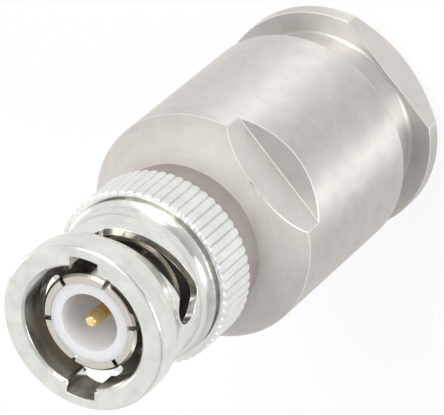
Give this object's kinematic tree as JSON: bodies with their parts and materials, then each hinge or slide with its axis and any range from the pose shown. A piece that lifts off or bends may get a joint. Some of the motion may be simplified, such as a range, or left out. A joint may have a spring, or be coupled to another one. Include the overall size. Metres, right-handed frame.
{
  "type": "bayonet coaxial plug",
  "caption": "Straight bayonet coaxial plug with a knurled spring-loaded coupling nut, slotted outer contact, gold pin and a screw-in cable clamp nut with wrench flats.",
  "frame": {"origin": "centre of the rear face of the clamp nut, on the common axis", "axes": "+Z along the common axis towards the mating face, +X square to the body's wrench flats"},
  "size_m": [0.019, 0.0192, 0.043],
  "materials": {
    "bright_nickel": "bright nickel plating on brass",
    "satin_nickel": "satin nickel plating on brass",
    "plated_contact": "nickel-plated spring bronze",
    "gold_plating": "gold plating on brass",
    "spring_steel": "stamped steel",
    "ptfe": "turned PTFE",
    "silicone": "moulded silicone",
    "black_rubber": "moulded rubber"
  },
  "bodies": {
    "body": {"body_shell": "satin_nickel", "outer_contact": "plated_contact", "front_insulator": "ptfe", "rear_insulator": "ptfe", "centre_contact": "gold_plating", "interface_gasket": "silicone", "wave_spring": "spring_steel", "braid_clamp": "satin_nickel", "cable_gasket": "black_rubber"},
    "spring_washer": {"thrust_washer": "spring_steel"},
    "coupling": {"coupling_nut": "bright_nickel", "nut_retaining_ring": "spring_steel"},
    "clamp_washer": {"slip_washer": "satin_nickel"},
    "clamp": {"clamp_nut": "satin_nickel"}
  },
  "joints": [
    {"name": "coupling_pull", "type": "slide", "parent": "body", "child": "spring_washer", "axis": [0, 0, 1], "range_m": [0, 0.0007], "stiffness_N_per_m": 6000, "springref_m": -0.001, "deforming": ["wave_spring"]},
    {"name": "coupling_turn", "type": "hinge", "parent": "spring_washer", "child": "coupling", "pos_m": [0, 0, 0.03], "axis": [0, 0, 1], "continuous": true},
    {"name": "clamp_back_off", "type": "slide", "parent": "body", "child": "clamp_washer", "axis": [0, 0, -1], "range_m": [0, 0.004]},
    {"name": "clamp_turn", "type": "hinge", "parent": "clamp_washer", "child": "clamp", "pos_m": [0, 0, 0], "axis": [0, 0, -1], "range_deg": [0, 1440]}
  ],
  "couplings": [
    {"joint": "clamp_back_off", "follows": "clamp_turn", "m_per_rad": 0.00015915}
  ]
}
